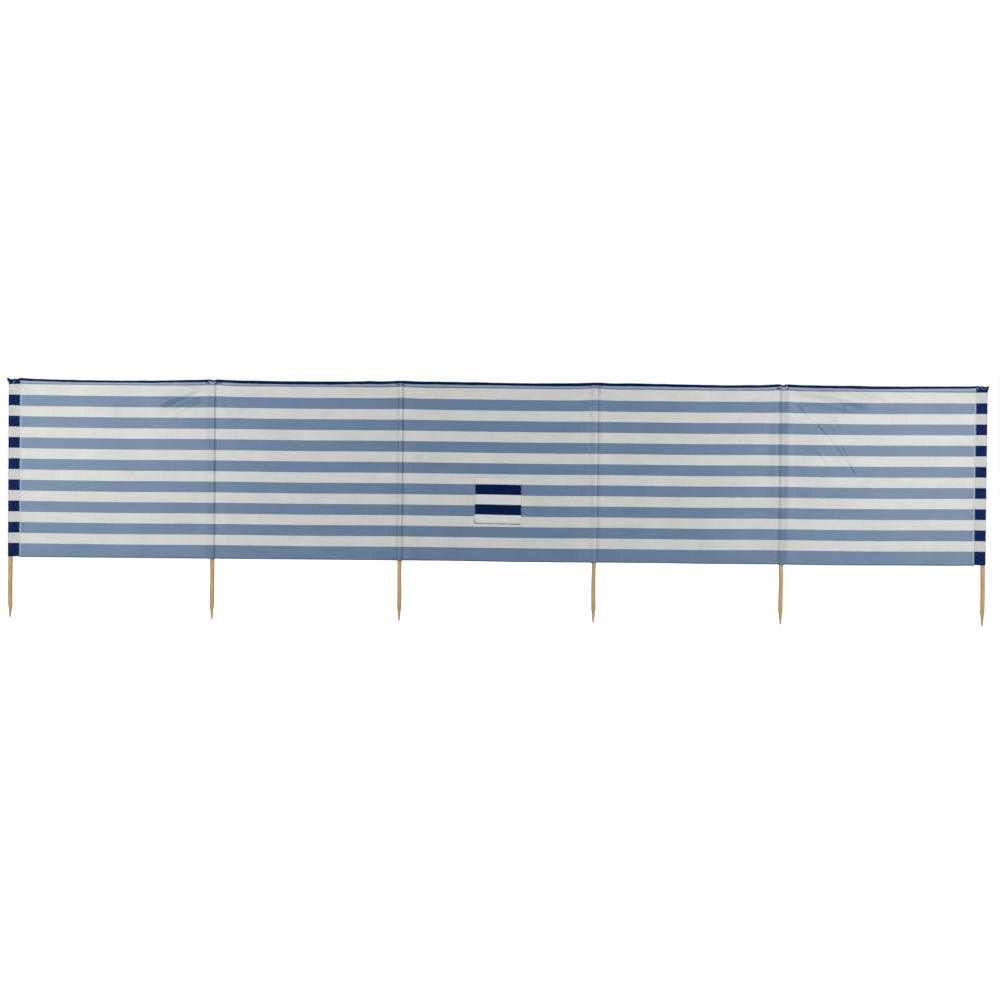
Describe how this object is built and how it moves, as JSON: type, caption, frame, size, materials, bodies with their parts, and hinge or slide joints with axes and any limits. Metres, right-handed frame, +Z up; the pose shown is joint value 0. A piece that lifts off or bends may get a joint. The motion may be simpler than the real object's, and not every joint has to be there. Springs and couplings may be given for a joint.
{
  "type": "beach windbreak",
  "caption": "Striped cloth windbreak on pointed wooden poles, with bays that turn about the poles, wide folded end sleeves, a rolled top hem and a flat patch pocket.",
  "frame": {"origin": "centre of the blunt flat tip of pole_3, the left pole of the middle bay", "axes": "+X along the run to the right as the user sees it, +Y away from the user through the cloth, +Z up along the poles"},
  "size_m": [4.94, 0.025, 1.205],
  "materials": {
    "wood": "plain turned softwood, unvarnished",
    "reverse": "woven cotton cloth, washed-out reverse of a navy and white stripe",
    "print": "woven cotton cloth, printed face of a navy and white stripe",
    "pocket_cloth": "woven cotton cloth, navy and white stripe, printed face out"
  },
  "bodies": {
    "middle_bay": {"pole_3": "wood", "pole_4": "wood", "sleeve_3": "reverse", "sleeve_4": "reverse", "cloth_bay_3": "reverse", "top_hem_3": "print", "bottom_hem_3": "reverse", "pocket": "pocket_cloth", "pocket_hem": "pocket_cloth"},
    "bay_2": {"pole_2": "wood", "sleeve_2": "reverse", "cloth_bay_2": "reverse", "top_hem_2": "print", "bottom_hem_2": "reverse"},
    "bay_1": {"pole_1": "wood", "sleeve_1": "print", "cloth_bay_1": "reverse", "top_hem_1": "print", "bottom_hem_1": "reverse", "corner_fold_left": "print"},
    "bay_4": {"pole_5": "wood", "sleeve_5": "reverse", "cloth_bay_4": "reverse", "top_hem_4": "print", "bottom_hem_4": "reverse"},
    "bay_5": {"pole_6": "wood", "sleeve_6": "print", "cloth_bay_5": "reverse", "top_hem_5": "print", "bottom_hem_5": "reverse", "corner_fold_right": "print"}
  },
  "joints": [
    {"name": "turn_at_pole_3", "type": "hinge", "parent": "middle_bay", "child": "bay_2", "pos_m": [0, 0, 0], "axis": [0, 0, 1], "range_deg": [-60, 60]},
    {"name": "turn_at_pole_2", "type": "hinge", "parent": "bay_2", "child": "bay_1", "pos_m": [-0.942, 0, 0], "axis": [0, 0, 1], "range_deg": [-60, 60]},
    {"name": "turn_at_pole_4", "type": "hinge", "parent": "middle_bay", "child": "bay_4", "pos_m": [0.977, 0, 0], "axis": [0, 0, -1], "range_deg": [-60, 60]},
    {"name": "turn_at_pole_5", "type": "hinge", "parent": "bay_4", "child": "bay_5", "pos_m": [1.919, 0, 0], "axis": [0, 0, -1], "range_deg": [-60, 60]}
  ]
}
